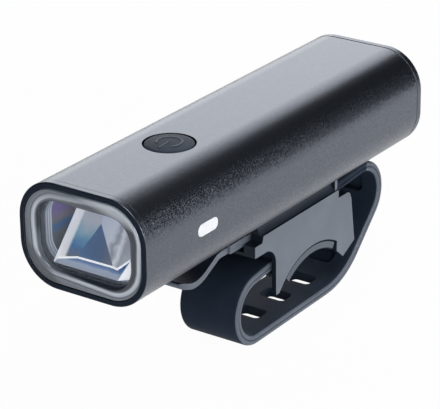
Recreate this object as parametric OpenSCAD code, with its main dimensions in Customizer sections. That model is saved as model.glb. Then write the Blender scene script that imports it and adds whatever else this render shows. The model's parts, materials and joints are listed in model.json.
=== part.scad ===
// Bike headlight with a quick-release handlebar bracket and a rubber strap.
// Millimetres. The origin is on the handlebar's axis: +X runs along the bar,
// the beam points to -Y and +Z is up.

/* [Handlebar saddle] */
// Diameter of the handlebar that the saddle fits
bar_d = 31.8; // [25.4:0.1:35]
// Thickness of the rubber saddle pad
pad_t = 2.2; // [1.5:0.1:3]
// Width of the saddle pad along the bar
pad_w = 17; // [12:0.5:17]
// Angle that the saddle pad covers ahead of the bar's top
pad_front_angle = 38; // [20:1:39]
// Angle that the saddle pad covers behind the bar's top
pad_rear_angle = 31; // [20:1:32]

/* [Bracket] */
// Width of the bracket over its two side plates
bracket_w = 18; // [17.5:0.5:24]
// Height of the bracket's deck above the saddle
deck_h = 9.6; // [9.2:0.1:14]
// Front end of the deck, ahead of the bar axis
deck_front = 20; // [18.5:0.5:24]
// Rear end of the deck, behind the bar axis
deck_rear = 10.4; // [9.8:0.1:12]
// How far the two noses reach ahead of the deck
nose_len = 3.3; // [1:0.1:5]
// Height of the noses
nose_h = 2.7; // [2:0.1:3.5]
// Drop from the deck to the top of the noses
nose_drop = 1.5; // [1:0.1:2]
// Front edge of the front legs, ahead of the bar axis
leg_front = 15.2; // [14.4:0.1:17]
// Height of the front legs' tips above the bar axis
leg_tip = 11.6; // [10:0.1:14]
// Radius of the hollow between the noses and the legs
leg_hollow_r = 4; // [2:0.1:4.5]
// Length of the lowered shelf behind the deck
shelf_len = 5.2; // [4.5:0.1:8]
// Drop from the deck to the rear shelf
shelf_drop = 2; // [1:0.1:3]
// Rounding of the rear shelf
shelf_r = 1.6; // [0.5:0.1:2]

/* [Rail and cleat] */
// Height of the light above the bracket's deck
cleat_h = 3.6; // [3.4:0.1:6]
// Width of the cleat under the light
cleat_w = 17.2; // [16:0.2:20]
// Thickness of the cleat's roof
cleat_roof = 1.2; // [1:0.1:2]
// Thickness of the cleat's lips
cleat_lip = 0.9; // [0.7:0.1:1.2]
// Width of the T-rail's neck
rail_neck = 8.8; // [6:0.2:10]
// Width of the T-rail's head
rail_head = 12.6; // [11.4:0.2:14]
// Thickness of the stop behind the cleat
stop_t = 1; // [0.8:0.1:1.5]

/* [Release lever] */
// Width of the lever's plate
lever_w = 11.4; // [10:0.2:12]
// Thickness of the lever's plate
lever_t = 2; // [1.4:0.1:2.2]
// How far the lever's plate reaches ahead of the deck
lever_reach = 7.9; // [5:0.1:12]
// Width of the thumb tongue
tongue_w = 10; // [7:0.2:10.6]
// Thickness of the thumb tongue
tongue_t = 1.4; // [1:0.1:1.8]
// Slope of the thumb tongue
tongue_slope = 27; // [10:1:32]
// Diameter of the lever's pin
lever_pin_d = 2; // [1.6:0.1:2.4]

/* [Strap] */
// Width of the strap
strap_w = 15.2; // [12:0.2:15.2]
// Thickness of the strap
strap_t = 2.4; // [1.8:0.1:2.8]
// Centre-line radius of the front loop
loop_r = 7.3; // [6:0.1:8]
// Centre-line radius of the curve behind the bar
rear_r = 18.3; // [16:0.1:22]
// Climb angle of the strap behind the bar
climb_angle = 44; // [40:1:48]
// Centre-line radius of the bend at the top
top_r = 7.1; // [6:0.1:8]
// Length of a strap slot, along the strap
slot_len = 4.3; // [3.4:0.1:5]
// Width of a strap slot
slot_w = 7; // [6.8:0.1:9]
// Distance between strap slots
slot_pitch = 10.3; // [7:0.1:10.6]
// Number of strap slots
slot_count = 8; // [4:1:8]
// Diameter of the strap's anchor pin
strap_pin_d = 2.6; // [2:0.1:3]

/* [Light body] */
// Width of the light body
body_w = 32; // [31:0.5:38]
// Height of the light body
body_h = 23.4; // [23.2:0.2:28]
// Length of the light body
body_len = 106; // [104:1:125]
// Corner radius of the body's section
body_r = 9.2; // [8.4:0.1:10]
// Wall of the extruded shell
body_wall = 1.5; // [1.2:0.1:1.6]
// Distance from the bar axis to the front face
front_reach = 71.3; // [62:0.5:76]
// Length of the white side windows
window_len = 7; // [5:0.5:9]
// Height of the white side windows
window_h = 2.8; // [2:0.1:3.2]
// Distance from the front face to the side windows
window_from_front = 21; // [19.5:0.5:23]

/* [Front lens] */
// Width of the black bezel's face
bezel_w = 1.2; // [1:0.1:2]
// Depth of the bezel
bezel_d = 1.6; // [1.2:0.1:2]
// Width of the lens's raised rim
rim_w = 3; // [2.2:0.1:3.4]
// Depth of the lens
lens_d = 2; // [1.8:0.1:2.6]
// Thickness of the lens's window
lens_t = 0.8; // [0.6:0.1:1]
// Width of the optic
optic_w = 18.4; // [14:0.2:20]
// Rise of the optic's sloping face
optic_rise = 7.4; // [4:0.1:8]
// Height of the optic's crease above its sides
optic_crease = 1; // [0.4:0.1:1.6]

/* [Power button] */
// Diameter of the rubber button
button_d = 10.8; // [8:0.2:12]
// Distance from the front face to the button
button_from_front = 30; // [28.5:0.5:31]
// Travel of the button
button_travel = 0.5; // [0.3:0.1:0.6]
// Height of the button's crown above the body
button_crown = 0.5; // [0.3:0.1:0.8]

/* [Inside] */
// Diameter of the battery cell
cell_d = 18.4; // [16:0.1:18.4]
// Clear length between the cell's tray and the charging board
cradle_clear = 2.6; // [0.5:0.1:8]
// Thickness of the circuit boards
board_t = 1.2; // [0.8:0.1:1.6]
// Thickness of the heat spreader
spreader_t = 4; // [3:0.1:4.2]

/* [Rear cap] */
// Thickness of the rear cap's plate
cap_t = 1.8; // [1.7:0.1:2.6]
// Depth of the rear cap's spigot
spigot_len = 4; // [3:0.5:6]
// Width of the port's flap
flap_w = 13; // [12:0.5:15]
// Height of the port's flap
flap_h = 7; // [6.8:0.1:8]
// Thickness of the port's flap
flap_t = 1; // [0.8:0.1:1]

/* [Hidden] */
$fn = 64;

// Clearances
fit = 0.1;          // pieces that drop into the shell
pin_fit = 0.04;     // pins in their holes
seat_fit = 0.05;    // pieces that are glued or pressed into a seat
slide_fit = 0.15;   // rail in the cleat
gap = 0.3;          // moving pieces that pass each other
over = 1;           // how far a cut runs past a face
tiny = 0.01;        // overlap of shapes that are joined into one

// Heights, from the bar axis upwards
bar_r = bar_d / 2;
saddle_r = bar_r + pad_t;
deck_z = saddle_r + deck_h;
body_z0 = deck_z + cleat_h;
body_z = body_z0 + body_h / 2;
body_z1 = body_z0 + body_h;
cavity_z0 = body_z0 + body_wall;
cavity_z1 = body_z1 - body_wall;

// Lengths, from the front face backwards
front_y = -front_reach;
rear_y = front_y + body_len;
shell_y0 = front_y + bezel_d;
gasket_t = 0.6;
cap_gasket_t = 0.3;
cap_y = rear_y - cap_t;
shell_y1 = cap_y - cap_gasket_t;

// Lens, holder and optic
lens_inset = bezel_w + seat_fit;
lens_recess = 0.7;
window_inset = lens_inset + rim_w;
rim_r = 0.9;
lens_step = max(0, body_wall + fit - lens_inset);
bezel_edge_r = 0.35;
lens_window_y = front_y + lens_recess;
holder_y0 = front_y + lens_d + gasket_t;
holder_end = 14.6;
holder_y1 = front_y + holder_end;
holder_back = 1.4;
optic_gap = 0.2;
optic_y0 = lens_window_y + lens_t + optic_gap;
optic_y1 = holder_y1 - holder_back - fit;
optic_z0 = body_z0 + window_inset + fit;
optic_lip = 3;
optic_slope_len = 6.1;
optic_bevel = 0.9;
collimator_r = 4.2;
led_rise = 5.4;
led_z = optic_z0 + led_rise;
led_size = 3.5;
led_t = 0.8;
led_dome_r = 1.4;
led_board_t = 1.6;
led_board_gap = 2;
led_board_y = holder_y1 + fit + led_t;
spreader_y0 = led_board_y + led_board_t;
spreader_y1 = spreader_y0 + spreader_t;

// Side windows
window_y = front_y + window_from_front;
window_flange = 0.8;
window_flange_t = 1;

// Button and switch, from the top wall downwards
button_y = front_y + button_from_front;
button_flange_t = 0.9;
button_flange = 1;
button_stem = 0.5;
stem_d = 4;
flange_z = cavity_z1 - fit;
stem_z = flange_z - button_flange_t - button_stem;
switch_z1 = stem_z - button_travel - fit;
switch_h = 1.2;
switch_w = 5.2;
plunger_r = 1.2;
plunger_len = 1;
board_z1 = switch_z1 - switch_h;
board_z0 = board_z1 - board_t;
board_half_len = 7;
board_w = 20;

// Rear cap, socket and flap
socket_w = 8.94;
socket_h = 3.26;
socket_len = 7.3;
socket_wall = 0.3;
socket_floor = 1;
socket_set = 0.9;
socket_y1 = cap_y - socket_set;
charge_board_len = 9;
charge_board_w = 16;
charge_y0 = socket_y1 - charge_board_len;
charge_z1 = body_z - socket_h / 2;
port_clear = 0.3;
port_w = socket_w + 2 * port_clear;
port_h = socket_h + 2 * port_clear;
flap_axis_y = rear_y - flap_t / 2;
flap_axis_z = body_z + flap_h / 2 - flap_t / 2;
flap_r = 2;
flap_gap = 0.2;
plug_len = 1.4;
plug_clear = 0.5;
plug_w = port_w - 2 * plug_clear;
plug_h = port_h - 2 * plug_clear;
spigot_wall = 1.3;
screw_r = 1;
screw_head_r = 1.9;
screw_head_t = 1.1;
screw_recess = 0.1;
hex_r = 0.9;
hex_d = 0.8;
channel_r = 2;
channel_set = 0.2;
channel_x = body_w / 2 - body_wall - channel_r - channel_set;

// Cell and its tray, which fill the length between the driver board and the charging board
cradle_t = 0.8;
cradle_wall = 1.4;
cradle_rise = 2;
cradle_lip = 1;
contact_t = 0.4;
contact_gap = 0.8;
contact_touch = 0.02;
contact_w = 8;
cell_end = 1;
cell_end_step = 0.4;
cradle_y0 = button_y + board_half_len + gap;
cradle_y1 = charge_y0 - cradle_clear;
cell_y0 = cradle_y0 + cradle_wall + contact_gap;
cell_y1 = cradle_y1 - cradle_wall - contact_gap;
cell_z = cavity_z0 + fit + cradle_t + cell_d / 2;
post_r = 1.6;
channel_clear = 0.2;
channel_y0 = cradle_y1 + channel_clear;

// Cleat and rail
cleat_reach = 0.6;
cleat_y0 = -deck_front - cleat_reach;
stop_y = deck_rear - stop_t;
cleat_y1 = stop_y - gap;
cleat_z0 = deck_z + slide_fit;
lip_z1 = cleat_z0 + cleat_lip;
roof_z = body_z0 - cleat_roof;
head_z0 = lip_z1 + slide_fit;
head_z1 = roof_z - slide_fit;
cleat_hollow_r = 2.2;
cleat_hollow_d = 0.8;
cleat_screw_ys = [-15, 4];
cleat_screw_r = 0.9;
cleat_head_r = 1.7;
cleat_head_t = 0.6;

// Lever
lever_z1 = deck_z - fit;
lever_z0 = lever_z1 - lever_t;
lever_pin_y = -14;
lever_eye_wall = 0.7;
lever_eye_sink = 0.7;
lever_eye_r = lever_pin_d / 2 + lever_eye_wall;
lever_pin_z = lever_z0 - lever_eye_r + lever_eye_sink;
lever_pocket_gap = 0.2;
lever_pocket_z = lever_pin_z - lever_eye_r - lever_pocket_gap;
lever_heel = 0.3;
lever_pocket_y = lever_pin_y + lever_eye_r + lever_heel + gap;
lever_front = -deck_front - lever_reach;
lever_room = 1.3;
lever_pocket_w = lever_w + 2 * gap;
pin_end = 0.4;
pin_recess = 0.2;
tongue_start = [lever_front, lever_z0 + tongue_t / 2, 180];
tongue_root = 2.4;
tongue_root_r = 4;
tongue_run = 4.2;
tongue_tip_r = 9;
tongue_tip_angle = 10;
tongue_tip = 1.2;
tongue_corner = 3;
tongue_steps = [["line", tongue_root], ["arc", tongue_root_r, tongue_slope], ["line", tongue_run],
    ["arc", tongue_tip_r, -tongue_slope - tongue_tip_angle], ["line", tongue_tip]];

// Strap: a path of straight runs and arcs in the Y-Z plane, from the anchor pin to the tail
leg_wall = 1.1;
strap_room = bracket_w - 2 * leg_wall;
strap_eye_wall = 1.6;
strap_eye_r = strap_pin_d / 2 + strap_eye_wall;
strap_pin_y = -11.1;
strap_web = 1;
strap_pocket_z = lever_pocket_z - strap_web;
strap_pin_z = strap_pocket_z - gap - strap_eye_r;
strap_pocket_y = -8.2;
loop_ahead = 9.3;
loop_below = 8.45;
loop_offset = [-loop_ahead, -loop_below];
strap_heading = atan2(loop_offset[1], loop_offset[0]) - asin(loop_r / norm(loop_offset));
lower_heading = 0.5;
lower_len = 28.4;
tail_heading = 184;
strap_start = [strap_pin_y, strap_pin_z, strap_heading];
strap_front_steps = [["line", sqrt(pow(norm(loop_offset), 2) - pow(loop_r, 2))],
    ["arc", loop_r, lower_heading - strap_heading], ["line", lower_len],
    ["arc", rear_r, climb_angle - lower_heading]];
climb_start = path_end(strap_start, strap_front_steps);
bend_rise = top_r * (cos(climb_angle) - cos(tail_heading));
tail_y = 11.2;
shelf_z = deck_z - shelf_drop;
tail_rest_z = shelf_z + gap + strap_t / 2;
tail_slope = tan(tail_heading - 180);
// the climb and the tail meet so that the tail lies on the rear shelf
climb_len = (tail_rest_z - bend_rise - climb_start[1]
    + tail_slope * (climb_start[0] - top_r * (sin(climb_angle) + sin(tail_heading - 180)) - tail_y))
    / (sin(climb_angle) - tail_slope * cos(climb_angle));
bend_end = path_end(climb_start, [["line", climb_len], ["arc", top_r, tail_heading - climb_angle]]);
tail_len = (bend_end[0] - tail_y) / cos(tail_heading - 180);
strap_steps = concat(strap_front_steps, [["line", climb_len],
    ["arc", top_r, tail_heading - climb_angle], ["line", tail_len]]);
strap_len = path_length(strap_steps);
tail_margin = 2.6;
slot_r = 1.2;
open_slots = 3;     // slots on the lower run, cut right through
pocket_share = 0.6; // depth of the closed slots, as a share of the strap's thickness
arc_step = 4;       // degrees between the points of a bent strip

// Saddle arch and the rear hook for the strap's tail
stud_r = 1.5;
stud_h = 2;
nose_root = 0.5;
shelf_t = 3.2;
peg_y = tail_y + tail_margin;
peg_t = 1.8;
peg_w = 6;
peg_gap = 1.1;
peg_z1 = body_z0 - peg_gap;
toe_gap = 0.15;
toe_tip_gap = 0.3;
toe_angle = 37.2;
toe_tip_angle = 50;
toe_root_angle = 31.2;
toe_root = 1;
toe_reach = 1.7;
toe_rise = 1.2;
shelf_rear = deck_rear + shelf_len;
toe_rear = [shelf_rear + toe_reach, leg_tip + toe_rise];

// Path helpers: a pose is [y, z, heading], a step is a line or an arc that turns left if positive
function step_length(step) = step[0] == "line" ? step[1] : step[1] * abs(step[2]) * PI / 180;
function part_step(step, f) = step[0] == "line" ? ["line", step[1] * f] : ["arc", step[1], step[2] * f];
function arc_centre(pose, step) = let (side = sign(step[2]))
    [pose[0] - side * step[1] * sin(pose[2]), pose[1] + side * step[1] * cos(pose[2])];
function advance(pose, step) = step[0] == "line"
    ? [pose[0] + step[1] * cos(pose[2]), pose[1] + step[1] * sin(pose[2]), pose[2]]
    : let (c = arc_centre(pose, step), h = pose[2] + step[2], r = sign(step[2]) * step[1])
        [c[0] + r * sin(h), c[1] - r * cos(h), h];
function path_poses(pose, steps, i = 0) = i == len(steps) ? [pose]
    : concat([pose], path_poses(advance(pose, steps[i]), steps, i + 1));
function path_end(pose, steps) = let (poses = path_poses(pose, steps)) poses[len(steps)];
function step_parts(step) = step[0] == "line" ? 1 : ceil(abs(step[2]) / arc_step);
function path_track(pose, steps) = let (poses = path_poses(pose, steps)) concat([pose],
    [for (i = [0 : len(steps) - 1]) let (n = step_parts(steps[i]))
        for (k = [1 : n]) advance(poses[i], part_step(steps[i], k / n))]);
function path_length(steps, i = 0) = i == len(steps) ? 0
    : step_length(steps[i]) + path_length(steps, i + 1);
function pose_at(pose, steps, s, i = 0) = let (l = step_length(steps[i]))
    s <= l || i == len(steps) - 1 ? advance(pose, part_step(steps[i], s / l))
    : pose_at(advance(pose, steps[i]), steps, s - l, i + 1);
// A point at a radius and an angle from the vertical about the bar axis
function round_bar(r, a) = [r * sin(a), r * cos(a)];

module rounded_rect(w, h, r) {
    square([w - 2 * r, h], center = true);
    square([w, h - 2 * r], center = true);
    for (sx = [-1, 1], sy = [-1, 1])
        translate([sx * (w / 2 - r), sy * (h / 2 - r)]) circle(r);
}

// The body's section, drawn in by an inset
module section(inset = 0) rounded_rect(body_w - 2 * inset, body_h - 2 * inset, body_r - inset);

// Extrudes an X-Z outline, centred on the body's axis, between two places along Y
module slab(y0, y1) translate([0, y1, body_z]) rotate([90, 0, 0]) linear_extrude(y1 - y0) children();

// Extrudes a Y-Z outline along X, centred
module side_plate(w) rotate([90, 0, 90]) linear_extrude(w, center = true) children();

// Carries a profile round the body's section: x is outwards from the outline, y is forwards
module frame_sweep(y, inset) {
    w = body_w - 2 * inset;
    h = body_h - 2 * inset;
    r = body_r - inset;
    translate([0, y, body_z]) rotate([90, 0, 0])
        for (k = [0:3]) let (a = k % 2 == 0 ? w : h, b = k % 2 == 0 ? h : w) rotate(90 * k) {
            translate([a / 2, b / 2 - r, 0]) rotate([90, 0, 0]) linear_extrude(b - 2 * r) children();
            translate([a / 2 - r, b / 2 - r, 0]) rotate_extrude(angle = 90) translate([r, 0]) children();
        }
}

// A strip of a given thickness and width that follows a path in the Y-Z plane
module ribbon(start, steps, t, w) {
    track = path_track(start, steps);
    near = [for (p = track) [p[0] - t / 2 * sin(p[2]), p[1] + t / 2 * cos(p[2])]];
    far = [for (i = [len(track) - 1 : -1 : 0]) let (p = track[i])
        [p[0] + t / 2 * sin(p[2]), p[1] - t / 2 * cos(p[2])]];
    side_plate(w) polygon(concat(near, far));
}

// A round bar along X
module cross_bar(y, z, r, x0, x1) translate([x0, y, z]) rotate([0, 90, 0]) cylinder(r = r, h = x1 - x0);

// A round bar along Y
module long_bar(x, z, r, y0, y1) translate([x, y1, z]) rotate([90, 0, 0]) cylinder(r = r, h = y1 - y0);

module block(x0, x1, y0, y1, z0, z1) translate([x0, y0, z0]) cube([x1 - x0, y1 - y0, z1 - z0]);

// A slot with round ends
module long_round(w, h) rounded_rect(w, h, h / 2 - tiny);

module window_slot(grow, x0, x1) translate([x0, window_y, body_z]) rotate([90, 0, 90])
    linear_extrude(x1 - x0) long_round(window_len + 2 * grow, window_h + 2 * grow);

module side_window(side) color("white") mirror([side > 0 ? 0 : 1, 0, 0]) {
    inner = body_w / 2 - body_wall - fit;
    window_slot(-fit / 2, inner - tiny, body_w / 2);
    window_slot(window_flange, inner - window_flange_t, inner);
}

module body_shell() color("#3a3f47") difference() {
    union() {
        difference() {
            slab(shell_y0, shell_y1) section();
            slab(shell_y0 - over, shell_y1 + over) section(body_wall);
        }
        intersection() {
            slab(shell_y0, shell_y1) section();
            for (side = [0, 1]) mirror([side, 0, 0]) {
                long_bar(channel_x, body_z, channel_r, channel_y0, shell_y1 - spigot_len);
                block(channel_x, body_w / 2, channel_y0, shell_y1 - spigot_len,
                    body_z - channel_r, body_z + channel_r);
            }
        }
    }
    for (side = [-1, 1]) long_bar(side * channel_x, body_z, screw_r, channel_y0, shell_y1);
    translate([0, button_y, body_z]) cylinder(d = button_d + 2 * gap, h = body_h);
    window_slot(0, -body_w, body_w);
    for (y = cleat_screw_ys) translate([0, y, body_z0 - over])
        cylinder(r = cleat_screw_r + pin_fit, h = body_wall + 2 * over);
}

module front_bezel() color("#1e2530") frame_sweep(front_y, 0) difference() {
    translate([-bezel_w, -bezel_d]) square([bezel_w, bezel_d]);
    translate([-bezel_edge_r, -bezel_edge_r]) difference() {
        square(bezel_edge_r + over);
        circle(bezel_edge_r);
    }
}

module front_lens() color("#c8d2dc", 0.5) union() {
    frame_sweep(front_y, lens_inset) difference() {
        union() {
            translate([-rim_w, -lens_d]) square([rim_w, lens_d - rim_r]);
            translate([rim_r - rim_w, -lens_d]) square([rim_w - 2 * rim_r, lens_d]);
            for (x = [-rim_r, rim_r - rim_w]) translate([x, -rim_r]) circle(rim_r);
        }
        // behind the bezel the rim steps in, clear of the shell's wall
        translate([-lens_step, -lens_d - over]) square([lens_step + over, lens_d + over - bezel_d + fit]);
    }
    slab(lens_window_y, lens_window_y + lens_t) section(window_inset - rim_w / 2);
}

module lens_gasket() color("#202328") slab(front_y + lens_d, holder_y0) difference() {
    section(body_wall + fit);
    section(window_inset);
}

module optic_holder() color("#2b3038") difference() {
    slab(holder_y0, holder_y1) section(body_wall + fit);
    slab(holder_y0 - over, holder_y1 - holder_back) section(window_inset);
    long_bar(0, led_z, collimator_r + fit, holder_y0, holder_y1 + over);
}

// Clear optic: a wedge with a creased sloping face, and a round collimator that takes the light in
module main_optic() color("#9fc0dc", 0.7) {
    lip_z = optic_z0 + optic_lip;
    slope = atan2(optic_rise, optic_slope_len);
    tilt = atan2(optic_crease, optic_w / 2);
    difference() {
        intersection() {
            side_plate(optic_w) polygon([[optic_y0, optic_z0], [optic_y0, lip_z],
                [optic_y0 + optic_slope_len, lip_z + optic_rise], [optic_y1, lip_z + optic_rise],
                [optic_y1, optic_z0]]);
            slab(optic_y0, optic_y1) section(window_inset + fit);
        }
        for (side = [-1, 1]) {
            translate([0, optic_y0, lip_z]) rotate([slope, 0, 0]) rotate([0, side * tilt, 0])
                translate([side > 0 ? 0 : -optic_w, -optic_slope_len, 0])
                    cube([optic_w, 4 * optic_slope_len, optic_slope_len]);
            translate([side * optic_w / 2, optic_y0, lip_z]) rotate([slope, 0, 0])
                translate([0, 0, -optic_crease]) rotate([0, 45, 0])
                    cube([optic_bevel, 4 * optic_slope_len, optic_bevel], center = true);
        }
    }
    long_bar(0, led_z, collimator_r, optic_y1 - over, holder_y1 - fit);
}

module led_emitter() color("#f4e27a") {
    half = led_size / 2;
    block(-half, half, led_board_y - led_t / 2, led_board_y, led_z - half, led_z + half);
    long_bar(0, led_z, led_dome_r, led_board_y - led_t, led_board_y - led_t / 2);
}

module led_board() color("#e8e8e8") slab(led_board_y, led_board_y + led_board_t)
    section(body_wall + led_board_gap);

module heat_spreader() color("#b9bdc2") difference() {
    slab(spreader_y0, spreader_y1) section(body_wall + fit);
    // grooves past the flanges of the side windows
    groove = window_h / 2 + window_flange + gap;
    for (side = [0, 1]) mirror([side, 0, 0])
        block(channel_x, body_w, spreader_y0 - over, spreader_y1 + over, body_z - groove, body_z + groove);
}

module driver_board() color("#2f6b46") block(-board_w / 2, board_w / 2,
    button_y - board_half_len, button_y + board_half_len, board_z0, board_z1);

module tact_switch() color("#8d9299") difference() {
    half = switch_w / 2;
    block(-half, half, button_y - half, button_y + half, board_z1, switch_z1);
    translate([0, button_y, board_z1 + fit]) cylinder(r = plunger_r + pin_fit, h = switch_h);
}

module switch_plunger() color("#1b1c1f") translate([0, button_y, stem_z - plunger_len])
    cylinder(r = plunger_r, h = plunger_len);

module power_button() color("#4a4e56") translate([0, button_y, 0]) {
    r = button_d / 2;
    crown_r = (r * r + button_crown * button_crown) / (2 * button_crown);
    flange_z0 = flange_z - button_flange_t;
    crown_z = body_z1 + button_crown;
    rotate_extrude() {
        translate([0, flange_z0]) square([r + button_flange, button_flange_t]);
        translate([0, stem_z]) square([stem_d / 2, button_stem]);
        intersection() {
            translate([0, flange_z0]) square([r, crown_z - flange_z0]);
            translate([0, crown_z - crown_r]) circle(crown_r, $fn = 256);
        }
    }
}

module side_window_right() side_window(1);

module side_window_left() side_window(-1);

module battery_cell() color("#3f6fb0") {
    long_bar(0, cell_z, cell_d / 2, cell_y0, cell_y1 - cell_end);
    long_bar(0, cell_z, cell_d / 2 - cell_end_step, cell_y1 - cell_end, cell_y1);
}

// Tray for the cell, with end walls for the contacts and posts for the driver board
module battery_cradle() color("#25282d") difference() {
    floor_z = cavity_z0 + fit;
    board_y0 = button_y - board_half_len;
    intersection() {
        slab(board_y0, cradle_y1) section(body_wall + fit);
        union() {
            block(-body_w / 2, body_w / 2, cradle_y0, cradle_y1, body_z0, cell_z + cradle_rise);
            block(-board_w / 2, board_w / 2, board_y0, cradle_y0 + over, floor_z, floor_z + cradle_wall);
            for (sx = [-1, 1], sy = [-1, 1])
                translate([sx * (board_w / 2 - post_r), button_y + sy * (board_half_len - post_r), floor_z])
                    cylinder(r = post_r, h = board_z0 - floor_z);
        }
    }
    long_bar(0, cell_z, cell_d / 2 + fit, cell_y0 - contact_gap, cell_y1 + contact_gap);
    block(cradle_lip - cell_d / 2, cell_d / 2 - cradle_lip,
        cradle_y0 + cradle_wall, cradle_y1 - cradle_wall, cell_z, body_z1);
}

module contact(y, side) color("#c9a24a") {
    half = contact_w / 2;
    far = y + side * contact_t;
    tip = y + side * (contact_gap - contact_touch);
    block(-half, half, min(y, far), max(y, far), cell_z - half, cell_z + half);
    long_bar(0, cell_z, half / 2, min(far, tip), max(far, tip));
}

module contact_front() contact(cell_y0 - contact_gap, 1);

module contact_rear() contact(cell_y1 + contact_gap, -1);

// Outline of the port's flap, square at its hinge
module flap_outline(grow) {
    w = flap_w + 2 * grow;
    rounded_rect(w, flap_h + 2 * grow, flap_r + grow);
    translate([-w / 2, 0]) square([w, flap_h / 2 + grow]);
}

module rear_cap() color("#23272e") difference() {
    union() {
        slab(cap_y, rear_y - bezel_edge_r) section();
        slab(rear_y - bezel_edge_r - tiny, rear_y) section(bezel_edge_r);
        difference() {
            slab(cap_y - spigot_len, cap_y) section(body_wall + fit);
            slab(cap_y - spigot_len - over, cap_y) section(body_wall + fit + spigot_wall);
        }
        block(-charge_board_w / 2, charge_board_w / 2, charge_y0, cap_y,
            charge_z1 - board_t - cradle_wall, charge_z1 - board_t);
    }
    slab(cap_y - over, rear_y + over) long_round(port_w, port_h);
    slab(rear_y - flap_t - fit, rear_y + over) flap_outline(flap_gap);
    for (side = [-1, 1]) {
        long_bar(side * channel_x, body_z, screw_r + pin_fit, cap_y - spigot_len - over, rear_y + over);
        long_bar(side * channel_x, body_z, screw_head_r + fit, rear_y - screw_head_t, rear_y + over);
    }
}

module rear_gasket() color("#202328") slab(shell_y1, cap_y) difference() {
    section(fit);
    section(body_wall);
}

module rear_cap_screws() color("#9ba0a6") for (side = [-1, 1]) difference() {
    head_y = rear_y - screw_head_t;
    union() {
        long_bar(side * channel_x, body_z, screw_r - pin_fit, channel_y0 + over, head_y);
        long_bar(side * channel_x, body_z, screw_head_r, head_y, rear_y - screw_recess);
    }
    translate([side * channel_x, rear_y, body_z]) rotate([90, 0, 0]) cylinder(r = hex_r, h = hex_d, $fn = 6);
}

module usb_socket() color("#c4c8cc") difference() {
    slab(socket_y1 - socket_len, socket_y1) long_round(socket_w, socket_h);
    slab(socket_y1 - socket_len + socket_floor, socket_y1 + over)
        long_round(socket_w - 2 * socket_wall, socket_h - 2 * socket_wall);
}

module charge_board() color("#2f6b46") block(-charge_board_w / 2, charge_board_w / 2,
    charge_y0, cap_y - fit, charge_z1 - board_t, charge_z1);

module port_cover() color("#2a2d33") union() {
    intersection() {
        slab(rear_y - flap_t, rear_y) flap_outline(0);
        block(-flap_w, flap_w, rear_y - flap_t, rear_y, body_z - flap_h, flap_axis_z);
    }
    cross_bar(flap_axis_y, flap_axis_z, flap_t / 2, -flap_w / 2, flap_w / 2);
    slab(rear_y - flap_t - plug_len, rear_y - flap_t + tiny) long_round(plug_w, plug_h);
}

// Channel under the light that slides on the bracket's rail
module light_cleat() color("#2a2e35") difference() {
    translate([0, cleat_y1, 0]) rotate([90, 0, 0]) linear_extrude(cleat_y1 - cleat_y0) difference() {
        translate([-cleat_w / 2, cleat_z0]) square([cleat_w, body_z0 + over - cleat_z0]);
        translate([-rail_head / 2 - slide_fit, lip_z1])
            square([rail_head + 2 * slide_fit, roof_z - lip_z1]);
        translate([-rail_neck / 2 - slide_fit, cleat_z0 - over])
            square([rail_neck + 2 * slide_fit, lip_z1 - cleat_z0 + 2 * over]);
        for (side = [-1, 1])
            translate([side * (cleat_w / 2 + cleat_hollow_r - cleat_hollow_d), (cleat_z0 + body_z0) / 2])
                circle(cleat_hollow_r);
    }
    slab(cleat_y0 - over, cleat_y1 + over) section(-tiny);
    for (y = cleat_screw_ys) translate([0, y, 0]) {
        translate([0, 0, roof_z - over]) cylinder(r = cleat_head_r + pin_fit, h = over + cleat_head_t);
        cylinder(r = cleat_screw_r + pin_fit, h = body_z);
    }
}

module cleat_screws() color("#9ba0a6") for (y = cleat_screw_ys) translate([0, y, 0]) {
    translate([0, 0, roof_z]) cylinder(r = cleat_head_r, h = cleat_head_t);
    translate([0, 0, roof_z]) cylinder(r = cleat_screw_r, h = cleat_roof + body_wall);
}

// Side outline of the bracket: deck, noses, front legs, saddle arch and rear toes
module bracket_outline() {
    nose_z1 = deck_z - nose_drop;
    nose_z0 = nose_z1 - nose_h;
    hollow = [-leg_front - leg_hollow_r, nose_z0 - leg_hollow_r];
    difference() {
        polygon([[-deck_front, deck_z], [deck_rear, deck_z], [deck_rear, shelf_z], [shelf_rear, shelf_z],
            toe_rear, [0, leg_tip], [-leg_front, leg_tip], [-leg_front, nose_z0],
            [-deck_front - nose_len, nose_z0], [-deck_front - nose_len, nose_z1],
            [-deck_front - nose_root, nose_z1]]);
        circle(saddle_r);
        translate([shelf_rear - shelf_r, shelf_z - shelf_r]) difference() {
            square(shelf_r + over);
            circle(shelf_r);
        }
    }
    // the corner between nose and leg is filled up to its round
    difference() {
        translate(hollow) square(leg_hollow_r + tiny);
        translate(hollow) circle(leg_hollow_r);
    }
    polygon([round_bar(saddle_r + toe_root, toe_root_angle), round_bar(bar_r + toe_gap, toe_angle),
        round_bar(bar_r + toe_tip_gap, toe_tip_angle), toe_rear, [shelf_rear, shelf_z - 2 * shelf_r]]);
}

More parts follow.
